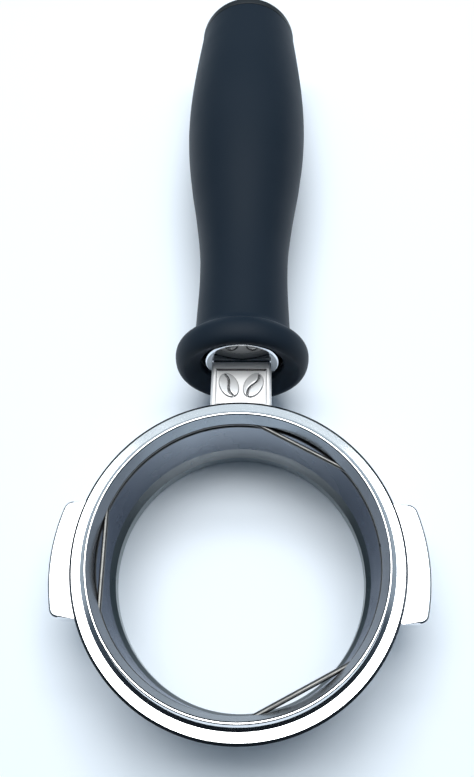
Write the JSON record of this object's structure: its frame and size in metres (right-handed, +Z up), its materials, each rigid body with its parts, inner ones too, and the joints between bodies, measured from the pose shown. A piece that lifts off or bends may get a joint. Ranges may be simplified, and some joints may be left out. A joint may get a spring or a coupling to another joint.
{
  "type": "portafilter",
  "caption": "Bottomless espresso portafilter: plated ring with side locking lugs, wire basket spring, short flat arm and a contoured soft-grip handle that screws on.",
  "frame": {"origin": "centre of the sealing rim's top plane, on the ring's axis", "axes": "+Z up along the ring's axis, +Y from the ring to the handle's end, +X to the right-hand lug"},
  "size_m": [0.0832, 0.2167, 0.0364],
  "materials": {
    "chrome_plate": "polished chrome plate over brass",
    "spring_steel": "drawn stainless spring wire",
    "zinc_steel": "zinc-plated thread",
    "fibre": "pressed fibre washer",
    "insert_brass": "turned brass",
    "core_nylon": "moulded black nylon",
    "soft_touch": "soft-touch matte black skin",
    "cap_plastic": "satin black moulding"
  },
  "bodies": {
    "ring": {"ring_body": "chrome_plate", "neck_arm": "chrome_plate", "threaded_stud": "zinc_steel"},
    "spring": {"basket_spring": "spring_steel"},
    "washer": {"seat_washer": "fibre"},
    "handle": {"handle_core": "core_nylon", "threaded_insert": "insert_brass", "grip_sleeve": "soft_touch", "end_cap": "cap_plastic"}
  },
  "joints": [
    {"name": "spring_turn", "type": "hinge", "parent": "ring", "child": "spring", "pos_m": [0, 0, -0.0043], "axis": [0, 0, 1], "continuous": true},
    {"name": "washer_slide", "type": "slide", "parent": "ring", "child": "washer", "axis": [0, 1, 0], "range_m": [0, 0.0316]},
    {"name": "handle_unscrew", "type": "hinge", "parent": "washer", "child": "handle", "pos_m": [0, 0.048, -0.0086], "axis": [0, 1, 0], "range_deg": [0, 6480]}
  ],
  "couplings": [
    {"joint": "washer_slide", "follows": "handle_unscrew", "m_per_rad": 0.00027852}
  ]
}
